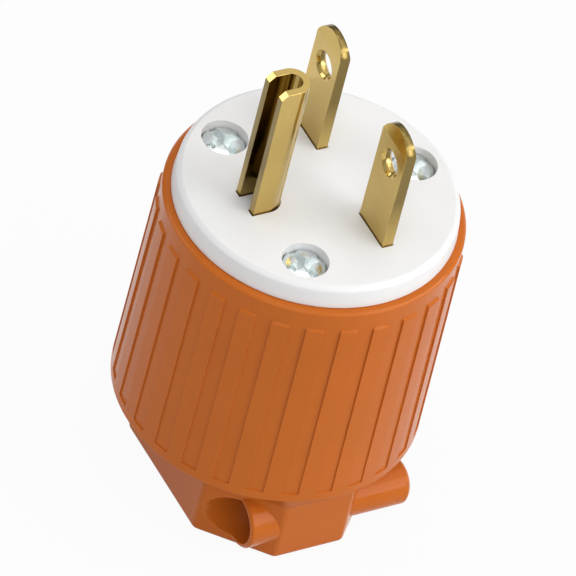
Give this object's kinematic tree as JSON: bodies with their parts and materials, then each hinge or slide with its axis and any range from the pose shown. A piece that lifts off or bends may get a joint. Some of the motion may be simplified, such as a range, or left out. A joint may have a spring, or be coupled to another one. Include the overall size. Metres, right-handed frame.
{
  "type": "heavy-duty plug",
  "caption": "Straight-blade power plug with a ribbed moulded body, octagonal neck with cord clamp, screwed-on face plate, flat blades in tandem and a folded U-shaped ground pin.",
  "frame": {"origin": "centre of the cord end of the neck, on the axis of the barrel", "axes": "+Z out of the mating face along the blades, +X from the ground pin towards the line blades, symmetric about the XZ plane"},
  "size_m": [0.0411, 0.0412, 0.072],
  "materials": {
    "orange_nylon": "semi-gloss",
    "white_nylon": "semi-gloss",
    "black_nylon": "matt",
    "brass": "bright rolled",
    "zinc_steel": "zinc plated",
    "green_steel": "green passivated"
  },
  "bodies": {
    "root": {"body_shell": "orange_nylon", "face_plate": "white_nylon", "terminal_block": "black_nylon", "line_blade_1": "brass", "line_blade_2": "brass", "ground_pin": "brass", "line_terminal_screws": "brass", "ground_terminal_screw": "green_steel", "line_clamp_plate_1": "brass", "line_clamp_plate_2": "brass", "ground_clamp_plate": "brass", "cord_clamp_jaw": "orange_nylon", "clamp_screws": "zinc_steel", "face_screws": "zinc_steel"}
  },
  "joints": []
}
